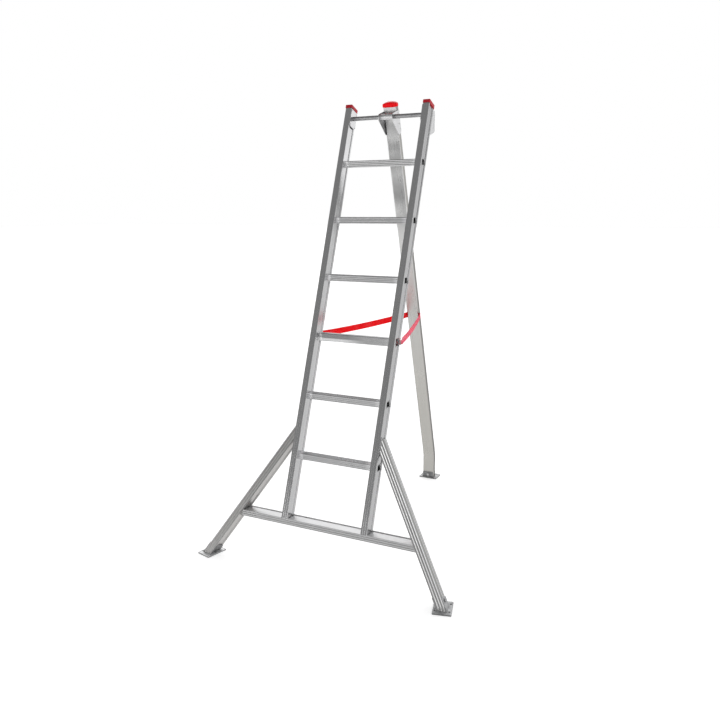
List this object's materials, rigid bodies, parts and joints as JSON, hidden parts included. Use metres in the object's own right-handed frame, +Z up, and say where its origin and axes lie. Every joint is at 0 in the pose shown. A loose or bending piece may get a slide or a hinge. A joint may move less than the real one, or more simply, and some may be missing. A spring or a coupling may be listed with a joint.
{
  "type": "tripod ladder",
  "caption": "Aluminium tripod ladder with a rung frame on splayed feet, a folding rear leg hinged on a top rod and a webbing strap that limits how far it opens.",
  "frame": {"origin": "middle of the overall footprint, on the ground", "axes": "+X to the climber's right, +Y from the rungs towards the rear leg, +Z up"},
  "size_m": [1.3462, 1.5836, 2.2388],
  "materials": {
    "mill_aluminium": "extruded mill finish, fine lengthwise lines",
    "red_plastic": "moulded, satin gloss",
    "red_webbing": "flat woven webbing",
    "galvanised_steel": "hot-dip galvanised, dull",
    "zinc_fasteners": "zinc plated"
  },
  "bodies": {
    "ladder": {"left_stile": "mill_aluminium", "right_stile": "mill_aluminium", "rung_1": "mill_aluminium", "rung_2": "mill_aluminium", "rung_3": "mill_aluminium", "rung_4": "mill_aluminium", "rung_5": "mill_aluminium", "rung_6": "mill_aluminium", "cross_member": "mill_aluminium", "left_splay_leg": "mill_aluminium", "right_splay_leg": "mill_aluminium", "left_stile_cap": "red_plastic", "right_stile_cap": "red_plastic", "left_hinge_plate": "mill_aluminium", "right_hinge_plate": "mill_aluminium", "hinge_plate_rivets": "mill_aluminium", "left_bumper_bracket": "mill_aluminium", "right_bumper_bracket": "mill_aluminium", "bumper_bracket_rivets": "mill_aluminium", "hinge_rod": "zinc_fasteners", "left_foot_plate": "galvanised_steel", "right_foot_plate": "galvanised_steel", "left_foot_cheeks": "galvanised_steel", "right_foot_cheeks": "galvanised_steel", "front_foot_bolts": "zinc_fasteners", "front_foot_nuts": "zinc_fasteners", "restraint_strap": "red_webbing"},
    "rear_leg": {"rear_leg_tube": "mill_aluminium", "rear_leg_cap": "red_plastic", "left_hinge_cheek": "mill_aluminium", "right_hinge_cheek": "mill_aluminium", "hinge_cheek_rivets": "mill_aluminium", "hinge_sleeve": "zinc_fasteners", "rear_foot_plate": "galvanised_steel", "rear_foot_cheeks": "galvanised_steel", "rear_foot_bolt": "zinc_fasteners", "rear_foot_nut": "zinc_fasteners"}
  },
  "joints": [
    {"name": "rear_leg_fold", "type": "hinge", "parent": "ladder", "child": "rear_leg", "pos_m": [0, 0.05418, 2.15769], "axis": [-1, 0, 0], "range_deg": [0, 37], "deforming": ["restraint_strap"]}
  ]
}
